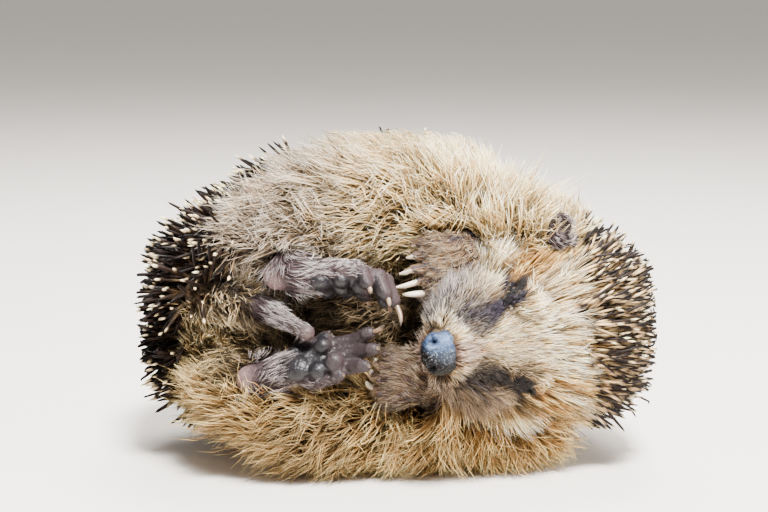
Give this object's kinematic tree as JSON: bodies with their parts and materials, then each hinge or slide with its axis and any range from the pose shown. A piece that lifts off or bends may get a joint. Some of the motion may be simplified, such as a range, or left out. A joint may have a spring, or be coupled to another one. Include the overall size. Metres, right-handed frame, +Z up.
{
  "type": "hedgehog",
  "caption": "European hedgehog lying half rolled up on its left side with closed eyes, head and feet tucked in, coat of straw fur and banded quills.",
  "frame": {"origin": "centre of the footprint, on the floor that the animal lies on", "axes": "+X from the rump to the crown of the head, +Y from the belly to the curved back, +Z up out of the right flank"},
  "size_m": [0.1578, 0.1216, 0.0987],
  "materials": {
    "body_fur": "straw coloured belly and flank fur, with quills banded cream and dark brown on the back",
    "head_fur": "short cream and grey-brown fur, with quills on the crown",
    "bare_skin": "mauve-grey bare skin with sparse silvery hairs",
    "nose_pad": "moist, finely pebbled blue-black skin",
    "eye": "black eyeball behind closed dark lids"
  },
  "bodies": {
    "root": {"head": "head_fur", "neck": "body_fur", "trunk": "body_fur", "tail": "bare_skin", "hind_leg_right": "bare_skin", "hind_leg_left": "bare_skin", "front_leg_right": "bare_skin", "front_leg_left": "bare_skin", "nose": "nose_pad", "ear_right": "bare_skin", "ear_left": "bare_skin", "eye_right": "eye", "eye_left": "eye"}
  },
  "joints": []
}
